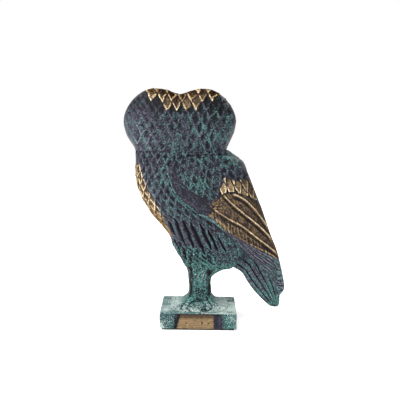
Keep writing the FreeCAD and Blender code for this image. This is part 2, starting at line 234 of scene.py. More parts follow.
def casting(node, rings, relief, green, rub, shade, finish):
    """The cast piece of a node: rings raised by the relief along the normals, and patina marks.

    The crest mark is painted light and shade: the relief less the relief softened, lighter on
    crests and darker in hollows, plus the painted shade and highlights of the pattern."""
    raised = rings + outward(rings) * relief[..., None]
    crest = (relief - softened(relief, 10)) / CREST_RELIEF + shade
    marks = {"crest": np.clip(crest, CREST_LOW, CREST_HIGH), "green": green, "rub": rub}
    piece = skin(node + "_casting", raised, marks)
    piece.data.materials.append(finish)
    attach(piece, "root")
    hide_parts(node)


def mould_skin(points, coarse, fine, seed):
    """Roughness that the mould leaves: a coarse and a fine random height, in millimetres."""
    return coarse * rough(points, 2.2, seed) + fine * rough(points, 0.9, seed + 1)


# Patinated bronze: liver-dark sulphide skin, powdery verdigris that sits in the hollows, and warm
# metal where hands and polishing have gone through the skin. Light and shade are painted into the
# colour as well: a painted grey gleam on crests, painted shade that turns pits and scale shadows
# black, and painted glints on the metal.
DARK_SKIN, GREY_SKIN, PAINTED_GREY_GLEAM, BLACK_HOLLOW_AND_PAINTED_SHADE = "#100e17", "#474353", "#807e88", "#06050b"
VERDIGRIS_DEEP, VERDIGRIS_LIGHT, VERDIGRIS_PALE = "#26343d", "#4f877f", "#a3b3ad"
BRASS_DARK, BRASS_MIDDLE, BRASS_PAINTED_GLINT = "#43382f", "#8e7758", "#eedab8"
PATCH, SPECKLE, GRAIN, SAND_DEPTH = 0.0045, 0.0010, 0.0005, 0.0005  # metres
GREENING = 0.88  # total at which half of the skin has turned to verdigris


def patina(name, spread, mottle):
    """Cast bronze with its patina and painted light and shade, driven by the crest, green and rub
    marks of the mesh.

    Three noises, of patches, speckles and grain, break up every change of colour. Spread is
    how wide the change from bare skin to verdigris is, and mottle how far the noises sway it."""
    made, tree, shader = material(name)
    place = add(tree, "ShaderNodeTexCoord", {}).outputs["Object"]
    patch, speckle, grain = [add(tree, "ShaderNodeTexNoise",
                                 {"Vector": place, "Scale": 1 / width, "Detail": detail,
                                  "Roughness": 0.65}).outputs["Fac"]
                             for width, detail in ((PATCH, 4.0), (SPECKLE, 3.0), (GRAIN, 2.0))]
    crest, green, rub = [add(tree, "ShaderNodeAttribute", {}, attribute_name=key).outputs["Fac"]
                         for key in ("crest", "green", "rub")]

    def total(start, *terms):
        """A start plus values, each times its weight."""
        value = start
        for source, weight in terms:
            value = add(tree, "ShaderNodeMath", {0: source, 1: weight, 2: value},
                        operation="MULTIPLY_ADD").outputs[0]
        return value

    def ramp(value, low, high):
        """Smooth step of a value from 0 at low to 1 at high."""
        return add(tree, "ShaderNodeMapRange", {"Value": value, "From Min": low, "From Max": high},
                   interpolation_type="SMOOTHSTEP").outputs[0]

    def mixed(share, first, second):
        """Two colours or sockets mixed by a share."""
        first, second = (linear(c) if isinstance(c, str) else c for c in (first, second))
        return add(tree, "ShaderNodeMix", {0: share, 6: first, 7: second},
                   data_type="RGBA").outputs[2]

    def blend(first, second, low, high, start, *terms):
        """One colour that turns into another as the total of the terms goes from low to high."""
        return mixed(ramp(total(start, *terms), low, high), first, second)

    # Bare skin mottles from dark to grey, a little lighter on crests as painted light.
    bare = blend(DARK_SKIN, GREY_SKIN, -0.4, 0.6,
                 -3.25, (patch, 1.5), (speckle, 3.0), (grain, 2.0), (crest, 0.35))
    # Black where the crest mark runs low: the patina's own dark in the hollows, deepened by painted
    # shade in pits and scale shadows.
    bare = blend(bare, BLACK_HOLLOW_AND_PAINTED_SHADE, 0.1, 0.9, -0.75, (crest, -1.0), (speckle, 1.5))
    # Painted highlight: a grey gleam where the crest mark runs high.
    bare = blend(bare, PAINTED_GREY_GLEAM, 1.45, 2.3, -1.6, (crest, 1.0), (speckle, 1.6), (grain, 1.6))
    powder = blend(VERDIGRIS_DEEP, VERDIGRIS_LIGHT, -0.3, 0.5,
                   -2.5, (speckle, 2.5), (grain, 2.5), (crest, 0.25))
    powder = blend(powder, VERDIGRIS_PALE, 1.3, 2.0,
                   -2.0, (green, 1.0), (speckle, 2.5), (grain, 1.5))
    greening = ramp(total(-4.0 * mottle, (green, 1.0), (patch, 2.0 * mottle),
                          (speckle, 3.2 * mottle), (grain, 2.8 * mottle)),
                    GREENING - spread / 2, GREENING + spread / 2)
    # Metal: painted shade darkens it in hollows and painted light brightens it on crests, with
    # painted glints where the crest mark and the noises run high.
    metal = blend(BRASS_DARK, BRASS_MIDDLE, -0.3, 0.35,
                  -0.5, (crest, 0.6), (speckle, 0.6), (patch, 0.4))
    metal = blend(metal, BRASS_PAINTED_GLINT, 0.3, 1.1, -0.45 - 1.82 * mottle, (crest, 0.7),
                  (grain, 2.6 * mottle), (speckle, 1.6 * mottle), (rub, 0.3))
    rubbing = ramp(total(-1.75, (rub, 2.0), (crest, 0.35), (speckle, 1.0), (patch, 0.7)), 0.1, 0.5)
    colour = mixed(rubbing, mixed(greening, bare, powder), metal)
    tree.links.new(colour, shader.inputs["Base Color"])
    dullness = total(0.28, (greening, 0.35), (speckle, 0.25), (rubbing, -0.05))
    tree.links.new(dullness, shader.inputs["Roughness"])
    metallic = add(tree, "ShaderNodeMix", {0: rubbing, 2: total(0.25, (greening, -0.25)), 3: 1.0},
                   data_type="FLOAT").outputs[0]
    tree.links.new(metallic, shader.inputs["Metallic"])
    sand = add(tree, "ShaderNodeBump", {"Height": total(0.0, (grain, 0.5), (speckle, 0.8)),
                                        "Strength": 1.0, "Distance": SAND_DEPTH})
    tree.links.new(sand.outputs[0], shader.inputs["Normal"])
    tree.links.new(mixed(rubbing, "#ffffff", metal), shader.inputs["Specular Tint"])
    shader.inputs["Specular IOR Level"].default_value = 0.2
    return made


plinth_low, plinth_high = (np.array(corner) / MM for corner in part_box("plinth"))
PLINTH_TOP = plinth_high[2]
PLINTH_CORNER, PLINTH_EDGE, PLINTH_FOOT_EDGE = 1.1, 0.8, 0.4
PLINTH_COLUMNS, UNDER_ROWS, TOP_ROWS = 420, 5, 69

# Each row: how far in from the upright faces, and its level; the last rows run to the middle.
turn = np.linspace(0, np.pi / 2, 9)
rise = np.linspace(plinth_low[2] + PLINTH_FOOT_EDGE, PLINTH_TOP - PLINTH_EDGE, 26)[1:-1]
inset = np.concatenate([PLINTH_FOOT_EDGE * (1 - np.sin(turn)), 0 * rise,
                        PLINTH_EDGE * (1 - np.cos(turn))])
level = np.concatenate([plinth_low[2] + PLINTH_FOOT_EDGE * (1 - np.cos(turn)), rise,
                        PLINTH_TOP - PLINTH_EDGE * (1 - np.sin(turn))])
shrink = np.concatenate([np.linspace(0.1, 1, UNDER_ROWS + 1)[:-1], np.ones(len(level)),
                         np.linspace(1, 0.02, TOP_ROWS + 1)[1:]])
inset, level = (np.pad(row, (UNDER_ROWS, TOP_ROWS), mode="edge") for row in (inset, level))


def walked(path):
    """Distance walked along a line of points, from its start to each of them."""
    return np.concatenate([[0], np.cumsum(np.linalg.norm(np.diff(path, axis=0), axis=1))])


def rounded_rectangle(half_length, half_width, corner, count):
    """Points evenly spaced round a rectangle whose corners are quarter circles."""
    angle = np.linspace(0, np.pi / 2, 24)
    path = []
    for quarter, (sx, sy) in enumerate(((1, 1), (-1, 1), (-1, -1), (1, -1))):
        bend = angle + quarter * np.pi / 2
        path.append(np.stack([sx * (half_length - corner) + corner * np.cos(bend),
                              sy * (half_width - corner) + corner * np.sin(bend)], -1))
    path = np.concatenate(path + [path[0][:1]])
    way = walked(path)
    even = np.linspace(0, way[-1], count, endpoint=False)
    return np.stack([np.interp(even, way, path[:, axis]) for axis in (0, 1)], -1)


half = (plinth_high - plinth_low) / 2
outline = rounded_rectangle(half[0], half[1], PLINTH_CORNER, PLINTH_COLUMNS)
narrowing = 1 - inset[:, None, None] / half[None, None, :2]
flat = outline[None] * narrowing * shrink[:, None, None]
rings = np.concatenate([flat, np.broadcast_to(level[:, None, None], flat.shape[:2] + (1,))], -1)
x, y, z = np.moveaxis(rings, -1, 0)
top = step(z, PLINTH_TOP - 0.8, PLINTH_TOP - 0.1)
upright = 1 - top
front = step(-y, half[1] - 1.6, half[1] - 0.4) * step(PLINTH_TOP - z, 0.2, 1.0)

# Relief: an uneven cast face, a worn upper edge, one chipped corner and pits in the front.
CHIP_DEPTH, PIT_DEPTH = 0.35, 0.45
PITS = ((2.6, 4.9, 0.55), (6.6, 4.6, 0.4), (-7.3, 4.3, 0.3), (-20.5, 7.4, 0.5))
relief = 0.10 * rough(rings, 7, 1) + mould_skin(rings, 0.06, 0.03, 2)
edge_wear = upright * step(np.abs(z - PLINTH_TOP), 1.8, 0.2)
relief -= 0.25 * edge_wear * step(rough(rings, 3.0, 4), 0.2, 0.9)
chip = bell(x, -half[0], 3.0) * bell(y, -half[1], 3.0) * bell(z, plinth_low[2], 4.5)
relief -= CHIP_DEPTH * chip * (1 + 0.6 * rough(rings, 1.6, 5))
for across, high, radius in PITS:
    relief -= PIT_DEPTH * front * bell(np.hypot(x - across, z - high), 0, radius)

# The rubbed field on the front, the dark line round it, and the greener parts beside it.
RUBBED_LEFT = (-13.6, -11.0)  # the field's left side, at its foot and its head
RUBBED_RIGHT = 10.0
up = z - plinth_low[2]
left_side = RUBBED_LEFT[0] + (RUBBED_LEFT[1] - RUBBED_LEFT[0]) * up / 10
rub = front * step(x - left_side, -0.5, 0.7) * step(RUBBED_RIGHT - x, -0.5, 0.9)
polish = step(up, 7.6, 5.8) + 0.25 * np.sin(z * 5.2 + 2 * rough(rings, 9, 7))
frame_line = front * (bell(x, left_side - 0.6, 0.9) + 0.55 * bell(x, RUBBED_RIGHT + 1.5, 1.6))
right_part = front * upright * step(x, 11.5, 17)
left_part = front * upright * step(-x, 13, 16)
green = (1.82 + 0.25 * step(x, 6, 15)) * top * (0.85 + 0.3 * rough(rings, 5, 8))
green += upright * (1.2 * chip + 0.85 * (1 - front)) - 0.8 * frame_line
green += right_part * (0.6 + 0.75 * step(x, 13, 21) + 0.35 * rough(rings, 3.5, 6))
green += left_part * (1.15 + 0.15 * rough(rings, 6, 9))
shade = rub * (0.5 * polish - 0.3) - 0.8 * (left_part + frame_line)
shade -= 0.8 * front * step(PLINTH_TOP - z, 1.6, 0.6)
plinth_finish = patina("plinth_bronze_with_verdigris", 0.8, 0.55)
casting("plinth", rings, relief, green, rub, shade, plinth_finish)

# ------------------------------
# Legs and feet. One casting: two feathered legs run together into a column that spreads
# into a low mound of toes, stood on the plinth and drawn down on it by the stud.
# ------------------------------
LEGS_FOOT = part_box("legs_and_feet")[0][2] / MM
LEG_MIDDLE, LEG_POWER = 0.6, 2.6
FOOT_SPREAD = 11.0  # each foot's middle, out from the middle of the plinth
LEG_COLUMNS, FOOT_ROWS, SHANK_ROWS = 420, 100, 90
# Front and back of the leg column and its half width, by level above the plinth.
LEG_LEVELS = [0, 5, 8, 12, 16, 20, 23, 25.4]
LEG_FRONT = [-8.2, -7.5, -7.0, -6.6, -6.9, -7.3, -8.0, -8.9]
LEG_BACK = [9.6, 9.0, 8.8, 8.5, 8.3, 9.6, 14.5, 20.5]
LEG_HALF = [9.6, 9.5, 9.4, 9.2, 9.3, 9.6, 9.9, 9.9]

shank = np.linspace(6.4, LEG_LEVELS[-1], SHANK_ROWS)


def turns(count, crowding):
    """Turns round a ring, crowded at its ends, or at its sides, by a sine of twice the turn."""
    even = np.linspace(0, 2 * np.pi, count, endpoint=False)
    return even + crowding * np.sin(2 * even)


def superellipse(turn, power):
    """Cosine and sine of each turn, stretched on to a superellipse of that power."""
    c, s = np.cos(turn), np.sin(turn)
    reach = (np.abs(c)**power + np.abs(s)**power)**(-1 / power)
    return c * reach, s * reach


spin = turns(LEG_COLUMNS, -0.12)


def leg_column(height):
    """Points round the legs at each level: a superellipse, pinched between the two legs.

    The pinch is a bell of the turn's sine, so that it lies at front and back."""
    fore, aft = through(height, LEG_LEVELS, LEG_FRONT), through(height, LEG_LEVELS, LEG_BACK)
    wide = through(height, LEG_LEVELS, LEG_HALF)
    along, across = superellipse(spin, LEG_POWER)
    pinched = along * (1 - 0.16 * bell(np.sin(spin), 0, 0.28))
    x = ((aft + fore) / 2)[:, None] + ((aft - fore) / 2)[:, None] * pinched
    y = wide[:, None] * across
    return np.stack([x, y, LEGS_FOOT + height[:, None] + 0 * x], -1)


def beside(x, y, start, end):
    """Share of the way along a straight line, and distance out from it, at each place."""
    start, end = np.array(start, float), np.array(end, float)
    length = np.linalg.norm(end - start)
    run = (end - start) / length
    out_x, out_y = x - start[0], y - start[1]
    return (out_x * run[0] + out_y * run[1]) / length, out_x * run[1] - out_y * run[0]


# Toes of the near foot: root, tip, half width and rise, each a ridge that falls to a claw.
TOES = [((-3, -9), (-17.6, -13.5), 3.0, 3.4), ((-2, -12), (-9.5, -21.5), 2.7, 3.4),
        ((3, -12), (3.5, -22.9), 2.7, 3.4), ((3, -9), (17.0, -12.5), 3.1, 3.2)]


def feet(x, y):
    """Height of the feet over the plinth, and the creases beside the toes.

    The height is the highest of a flare round the legs, a mound and the toes. Each toe is a
    root of a parabola across, and along it a ridge with knuckles that narrows to its claw.
    The far foot mirrors the near one."""
    side = -np.abs(y)
    away = np.hypot(np.maximum(np.abs(x - LEG_MIDDLE) - 6.5, 0), np.maximum(np.abs(y) - 7.5, 0))
    height = 5.6 * np.exp(-away / 1.9) + 3.6 * bell(away, 0, 7.6)
    mound = 1 - (x / 13.5)**2 - ((side + FOOT_SPREAD) / 9.0)**2
    height = np.maximum(height, 3.3 * np.sqrt(np.maximum(mound, 0)))
    crease = 0 * x
    for root, tip, wide, high in TOES:
        v, u = beside(x, side, root, tip)
        u = np.abs(u) / wide
        ridge = high * (1 - 0.62 * np.clip(v, 0, 1)**1.6) * (1 + 0.12 * np.cos(v * 19))
        narrow = 1 - 0.55 * step(v, 0.55, 1.0)
        body = 1 - (u / narrow)**2 - step(v, 0.93, 1.08)
        toe = ridge * np.sqrt(np.clip(body, 0, 1)) * step(v, -0.15, 0.15)
        crease = np.maximum(crease, bell(u, narrow, 0.16) * (v > 0.05) * (v < 1.05))
        height = np.maximum(height, toe)
    return height, crease


# Out from the column's foot, each bearing runs to the mound's own edge.
SEARCH = 30  # how far out each edge is looked for
MOUND_EDGE = 0.35  # height of the feet where their edge is drawn
foot_ring = leg_column(shank[:1])[0]
bearing = np.arctan2(foot_ring[:, 1], foot_ring[:, 0] - LEG_MIDDLE)
out = np.linspace(0, SEARCH, 140)[:, None]
ray_x, ray_y = LEG_MIDDLE + np.cos(bearing) * out, np.sin(bearing) * out
inside_plinth = (np.abs(ray_x) < half[0] - 1.2) & (np.abs(ray_y) < half[1] - 0.2)
standing = (feet(ray_x, ray_y)[0] > MOUND_EDGE) & inside_plinth
rim = 0.4 + np.max(np.where(standing, out, 0), axis=0)
for _ in range(6):
    rim = (np.roll(rim, 1) + 2 * rim + np.roll(rim, -1)) / 4
inner = np.hypot(foot_ring[:, 0] - LEG_MIDDLE, foot_ring[:, 1])
fade = np.linspace(1, 0, FOOT_ROWS)[:, None]
radius = inner + (rim - inner) * fade
flat_x, flat_y = LEG_MIDDLE + radius * np.cos(bearing), radius * np.sin(bearing)
flat_z, crease = feet(flat_x, flat_y)
flat_z = flat_z * step(fade, 1.0, 0.985) ** 0.5
flat_z = flat_z + (shank[0] - flat_z) * step(fade, 0.05, 0.0)
mound = np.stack([flat_x, flat_y, LEGS_FOOT + flat_z], -1)
rings = np.concatenate([mound, leg_column(shank)[1:]])
x, y, z = np.moveaxis(rings, -1, 0)
height = z - LEGS_FOOT

# Grooves down the shanks, each with its place and darkness, and contours engraved in the feet.
GROOVES = ((-4.8, 1.5), (-0.7, 0.4), (3.5, 0.4), (6.9, 1.5))
GROOVE_DEPTH, ENGRAVING_DEPTH, CONTOURS = 1.1, 0.45, 3.2
shin = step(height, 6.5, 9.0)
patches = step(rough(rings, 2.6, 15), -0.6, 0.2)
relief = 0.10 * rough(rings, 2.4, 11) + 0.06 * rough(rings, 1.0, 12)
shade = np.zeros(x.shape)
for groove, darkness in GROOVES:
    wander = groove + 0.35 * np.sin(height * 0.5 + groove)
    broken = 0.55 + 0.45 * rough(np.stack([x * 0 + groove, y * 0, height], -1), 3.2, 13)
    relief -= GROOVE_DEPTH * shin * broken * bell(x, wander, 0.8) * (np.abs(y) > 5)
    shade -= darkness * shin * bell(x, groove, 1.0) * patches
relief[:FOOT_ROWS] -= 0.35 * crease
arches = np.hypot((x + 1.0) / 12.5, (np.abs(y) - 14.0) / 8.5) + 0.06 * rough(rings, 4, 17)
on_foot = step(height, 7.5, 5.5) * step(arches, 1.05, 0.95)
engraved = on_foot * step(np.cos(2 * np.pi * CONTOURS * arches), -0.2, -0.9)
relief -= ENGRAVING_DEPTH * engraved
relief *= step(height, 0.05, 0.8)
streaks = rough(np.stack([x * 1.6, y * 1.6, height * 0.22], -1), 2.2, 16) * shin
shade -= 0.75 * engraved
shade -= 1.2 * step(-y, 18, 21) * step(height, 0.1, 1.5) * step(np.abs(x - 1.5), 8, 5)
green = 0.97 + 0.85 * step(height, 6.0, 0.6) + 0.2 * rough(rings, 4, 14) + 0.75 * streaks
green += 0.7 * np.minimum(shade, 0)
body_finish = patina("body_bronze_dark_with_verdigris", 0.6, 0.85)
casting("legs_and_feet", rings, relief, green, 0 * x, shade, body_finish)

# ------------------------------
# Torso. Breast, belly, thighs and rump in one casting, modelled in wax with rows of pointed
# scale feathers, long hollow flank feathers and a net of small thigh feathers.
# ------------------------------
TORSO_FOOT, NECK = (corner[2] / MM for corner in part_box("torso"))
HEAD_MIDDLE = -12.9
TORSO_COLUMNS, TORSO_ROWS = 440, 215
# The breast's line and the back's line in profile, and the half width between them.
FRONT_LEVELS = [35.6, 42.7, 50.5, 56, 62, 70, 78, 89, 98, 105, 111]
FRONT_LINE = [-8.2, -12.2, -16.8, -18.9, -23.3, -30.4, -35.2, -39.5, -40.7, -40.5, -40.9]
BACK_LEVELS = [35.6, 38, 42, 46, 54, 62, 73, 85, 97, 104.5, 108.3, 111]
BACK_LINE = [21.6, 24.5, 29.5, 33.0, 36.0, 37.0, 35.5, 33.0, 29.5, 25.8, 21.5, 17.8]
WIDTH_LEVELS = [35.6, 42, 48, 57, 68, 80, 93, 103.5, 111]
HALF_WIDTH = [9.8, 11.6, 13.2, 15.2, 17.2, 18.2, 17.8, 16.8, 16.9]
TORSO_POWER = 2.3
JOINT_RELIEF = 0.3  # relief of both castings at the neck, so that they meet flush


def body_side(x, fore, aft, half_width, power):
    """Half width of a body at a place along it: a superellipse from its front to its back."""
    share = np.clip(np.abs(2 * x - fore - aft) / (aft - fore), 0, 1)
    return half_width * (1 - share**power)**(1 / power)


def torso_side(x, z):
    """Half width of the torso at a place in profile."""
    return body_side(x, through(z, FRONT_LEVELS, FRONT_LINE), through(z, BACK_LEVELS, BACK_LINE),
                     through(z, WIDTH_LEVELS, HALF_WIDTH), TORSO_POWER)


def lozenges(across, along, width, height, lift, dish, seed):
    """Scales cut as lozenges: their height, and fields for their parts and places.

    Two families of slanting lines part the scales. A scale rises evenly by its lift from its
    upper point to its lower one, which so stands over the scales below, and is dished inside.
    The rim runs inside its two lower sides, the glint inside the lower left one, the shadow
    inside the two upper ones, and the web inside all four. Each scale's lift and dish are a
    little its own, and middle gives its own place across and along."""
    p, q = across / width + along / height, across / width - along / height
    u, v = p - np.floor(p), q - np.floor(q)
    own = np.random.default_rng(seed).uniform(0.5, 1.4, (64, 64))
    own = own[np.mod(np.floor(p), 64).astype(int), np.mod(np.floor(q), 64).astype(int)]
    to_rim, to_shadow = np.minimum(1 - u, v), np.minimum(u, 1 - v)
    to_side = np.minimum(to_rim, to_shadow)
    rim, shadow = step(to_rim, 0.17, 0.03), step(to_shadow, 0.22, 0.03)
    centre = (np.floor(p) + np.floor(q) + 1) / 2 * width, (np.floor(p) - np.floor(q)) / 2 * height
    return {"height": own * (lift * (u + 1 - v) / 2 - dish * step(to_side, 0.06, 0.34)),
            "own": own - 0.95, "rim": rim, "shadow": shadow, "web": np.maximum(rim, shadow),
            "pit": own * step(to_side, 0.16, 0.4), "glint": step(v, 0.17, 0.02),
            "middle": centre}


def painted_scale_shading(scale, pit):
    """Painted light and shade of scales that aren't rubbed: light on their rims, dark in their
    shadows and pits.
    """
    return 0.25 * scale["rim"] - 0.25 * scale["shadow"] - pit * scale["pit"]


levels = np.linspace(TORSO_FOOT - 0.4, NECK, TORSO_ROWS)
levels[-1] = NECK
fore, aft = through(levels, FRONT_LEVELS, FRONT_LINE), through(levels, BACK_LEVELS, BACK_LINE)
along, across = superellipse(turns(TORSO_COLUMNS, 0.17), TORSO_POWER)

# Each level runs from the breast line round by way of the near side.
x = ((fore + aft) / 2)[:, None] - ((aft - fore) / 2)[:, None] * along
y = -through(levels, WIDTH_LEVELS, HALF_WIDTH)[:, None] * across
z = levels[:, None] + 0 * x
rings = np.stack([x, y, z], -1)
steps = np.linalg.norm(np.roll(rings, -1, axis=1) - rings, axis=-1)
round_way = np.concatenate([np.zeros((len(rings), 1)), np.cumsum(steps, axis=1)[:, :-1]], axis=1)
girth = steps.sum(axis=1, keepdims=True)
from_breast = np.minimum(round_way, girth - round_way)
falls = np.linalg.norm(np.diff(rings, axis=0), axis=-1)
down = np.concatenate([np.cumsum(falls[::-1], axis=0)[::-1], np.zeros((1, falls.shape[1]))])

# Where each kind of feather grows: long flank hollows, thigh net, loin streaks, chest scales.
flank_top, thigh_top = 70.5 - 0.35 * (x + 16), 53 - 0.2 * x
before_loin = step(x, 12, 6)
flank = before_loin * within(z, thigh_top - 6, thigh_top - 1, flank_top - 4, flank_top)
thigh = step(z, thigh_top, thigh_top - 7) * before_loin
loin = step(x + 0.25 * (z - 50), 5, 11) * step(z, 62, 56)
chest = np.clip(1 - flank - thigh - loin, 0, 1)
warp = 0.7 * rough(rings, 5, 24) + 0.3 * rough(rings, 2, 28)
lean = from_breast + 0.12 * down + warp
scale = lozenges(lean, down + warp, 4.8, 8.8, 0.95, 0.55, 25)
net = lozenges(lean, down - warp, 3.9, 6.8, 0.7, 0.65, 26)
shade_and_verdigris_strength = 0.6 + 0.55 * rough(rings, 7, 29)  # how strongly the painted shade and the verdigris of the scales show, place by place

# Flank hollows: upper end, lower end and half width of each, in profile.
HOLLOWS = [((-19.5, 67), (-14.5, 57), 1.3), ((-15.5, 69.5), (-9.0, 52.5), 1.5),
           ((-10.5, 68.5), (-3.0, 50.0), 1.6), ((-5.5, 67.5), (3.3, 48.0), 1.7),
           ((0.5, 66.5), (8.0, 49.0), 1.5), ((5.5, 63.0), (12.5, 48.5), 1.2),
           ((11.5, 59.0), (17.5, 47.0), 0.9), ((-16.5, 55.5), (-12.2, 47.5), 1.1),
           ((-9.8, 48.2), (-7.2, 41.5), 1.1)]
HOLLOW_DEPTH, BANK_RISE = 1.2, 0.3
hollow = np.zeros(x.shape)
banks = np.zeros(x.shape)
for head, foot, wide in HOLLOWS:
    v, u = beside(x, z, head, foot)
    shape = wide * np.sqrt(np.clip(4 * v * (1 - v), 0, 1)) + 0.01
    out = np.abs(u + 0.5 * rough(rings, 3.5, 27)) / shape
    hollow = np.maximum(hollow, step(out, 1.0, 0.2) * (v > 0) * (v < 1))
    banks = np.maximum(banks, bell(out, 1.35, 0.4) * (v > -0.02) * (v < 1.02))
streak = np.sin((x * 0.85 + z * 0.35) * 2.3 + 1.5 * rough(rings, 5, 21))
relief = chest * scale["height"] + thigh * net["height"] * (1 - hollow) + 0.22 * loin * streak
relief += BANK_RISE * banks * (flank + thigh) - HOLLOW_DEPTH * hollow
relief += mould_skin(rings, 0.16, 0.10, 22)
relief *= 1 - 0.6 * bell(from_breast, 0, 3.5)
relief *= step(z, TORSO_FOOT - 0.3, TORSO_FOOT + 1.5)
relief = JOINT_RELIEF + (relief - JOINT_RELIEF) * step(NECK - z, -0.05, 0.5)

# The rubbed breast: how far back from the breast line it reaches, by level.
RUB_LEVELS = [54, 58, 65, 72, 77, 83, 89, 95, 102, 105]
RUB_WIDTH = [0, 2.5, 4.5, 7.6, 7.6, 7.0, 6, 4.4, 2.2, 0]
past_rub = through(z, RUB_LEVELS, RUB_WIDTH) - (x - through(z, FRONT_LEVELS, FRONT_LINE))
rub = step(past_rub + 1.5 * scale["own"], -1.2, 0.6) * within(z, 53, 58, 102, 106)
green = chest * (0.22 + shade_and_verdigris_strength * (0.38 * scale["web"] - 0.25 * scale["pit"]))
green += thigh * (0.5 + 0.5 * net["web"] - 0.25 * net["pit"]) + flank * (0.12 + 0.38 * banks)
green += 0.52 * loin + 0.12 * step(x, -30, -18) * step(z, 62, 74) + 0.35 * step(z, 44, 37)
green -= 0.9 * hollow + 0.5 * rub
# Painted light and shade: lighter on the scales' rims and the flank banks, darker in the scales'
# shadows and pits, the flank hollows and the thigh pits.
shade = (1 - rub) * (chest * shade_and_verdigris_strength * painted_scale_shading(scale, 0.5) + 0.3 * (chest + loin))
shade += 0.15 * banks - 0.6 * hollow - 0.9 * thigh * net["pit"]
shade += rub * (0.3 + 0.25 * scale["rim"] - 1.1 * scale["shadow"])
# A painted grey gleam, a highlight, lies on a strip of scales just behind the rubbed ones.
painted_gleam = step(past_rub, -4.5, -1.0) * (1 - rub) * within(z, 62, 70, 100, 106)
shade += 1.9 * painted_gleam * (0.35 + scale["rim"] - scale["shadow"])
casting("torso", rings, relief, green, rub, shade, body_finish)

# ------------------------------
# Tail. A thin blade of long feathers, butted on the rump between the wings' tips and brazed
# over a small dowel.
# ------------------------------
TAIL_ROWS, TAIL_COLUMNS = 150, 300
TAIL_POWER, TAIL_FEATHERS = 3.2, 6.0
TAIL_NEAR = [(15, 43), (22.1, 36.0), (27.2, 33.0), (31.8, 26.1), (37.1, 19.4), (42.9, 14.0),
             (47.2, 10.9), (49.6, 10.3)]
TAIL_FAR = [(34, 66), (43.5, 52), (48.8, 40), (51.6, 29), (52.4, 20), (52.1, 14), (51.4, 10.9),
            (49.6, 10.3)]
TAIL_HALF = [4.6, 3.8, 3.3, 2.9, 2.5, 1.4]  # half thickness from the root to the end
TAIL_END = 0.995  # share of the way to the tip at which the rings stop


def walk(points, share):
    """Place at a share of the way along a smooth line through points."""
    points = np.array(points, float)
    way = walked(points)
    return np.stack([through(share * way[-1], way, points[:, axis]) for axis in (0, 1)], -1)


share = np.linspace(0, TAIL_END, TAIL_ROWS)
near_edge, far_edge = walk(TAIL_NEAR, share), walk(TAIL_FAR, share)
along, out = superellipse(turns(TAIL_COLUMNS, 0.10), TAIL_POWER)
across = 0.5 - 0.5 * along
flat = near_edge[:, None] + (far_edge - near_edge)[:, None] * across[None, :, None]
thick = through(share, np.linspace(0, 1, len(TAIL_HALF)), TAIL_HALF)[:, None] * out
rings = np.stack([flat[..., 0], -thick, flat[..., 1]], -1)
share = share[:, None]
lane = across * TAIL_FEATHERS + 0.25 * np.sin(share * 5)
place_in = lane - np.floor(lane)
relief = 0.55 * place_in - 0.75 * bell(place_in, 0.02, 0.10) - 0.45 * step(place_in, 0.86, 1.0)
relief += 0.25 * bell(place_in, 0.5, 0.07)
relief += 0.07 * np.sin(share * 190 + lane * 9) + 0.08 * rough(rings, 2.0, 31)
relief *= step(np.abs(out), 0.25, 0.6) * step(share, TAIL_END, 0.94)
groove = bell(place_in, 0.02, 0.13) + bell(place_in, 0.98, 0.08)
green = 0.32 + 0.25 * rough(rings, 5, 32) + 0.3 * place_in + 0.25 * step(share, 0.2, 0.9)
casting("tail", rings, relief, green - 0.4 * groove, 0 * lane, 1.3 - 2.0 * groove, body_finish)

# ------------------------------
# Wings. Two shell castings, near mirror images, each laid on the body and brazed over pins:
# covert scales on the shoulder, three long rubbed quills, and a fan of dark flight feathers.
# ------------------------------
WING_ROWS, OUTER_COLUMNS, INNER_COLUMNS = 320, 262, 30
# Matching places along the leading and trailing edges, from the shoulder to the tip.
WING_LEAD = [(-20.3, 96.2), (-19, 94.4), (-15.9, 86), (-11.3, 79.8), (-6.8, 76.4), (-1.7, 72.5),
             (5.7, 68.6), (10.9, 65.2), (18.2, 58.6), (23.8, 53.6), (32.1, 43.9), (40.7, 35.4),
             (49.0, 24.4), (50.6, 19.2)]
WING_TRAIL = [(-18.6, 102.7), (-15.8, 105.4), (-8, 108.6), (7.5, 109.8), (17, 108.5), (26.7, 105),
              (30.8, 96.8), (35.5, 85.3), (40.2, 73.7), (45.6, 58.3), (50.3, 46.6), (54.3, 30.6),
              (55.2, 22.7), (52.6, 18.6)]
# Front, back and half width of the body with its wings on, by level.
SWELL_LEVELS = [18, 22, 35, 46, 57, 68, 80, 93, 104, 110]
SWELL_FRONT = [42, 36, 20, 6, -10, -24, -30, -30, -24, -16]
SWELL_BACK = [56.3, 56.9, 55.3, 51.6, 47.4, 43.1, 38.4, 33.5, 28.4, 21]
SWELL_HALF = [5.5, 6.5, 8.5, 12, 16.5, 19.5, 21.4, 21.4, 19.5, 14.5]
# From the middle of the bird to a wing's inner face: clear of the tail, nearly shut on the back.
GAP_LEVELS, GAP = [18, 50, 66, 78, 110], [2.6, 2.6, 2.6, 0.6, 0.6]
# How far a wing's inner face lies in the torso, and its outer one over it, at the least.
WING_BITE, WING_LIP, WING_POWER = 0.4, 1.0, 2.3

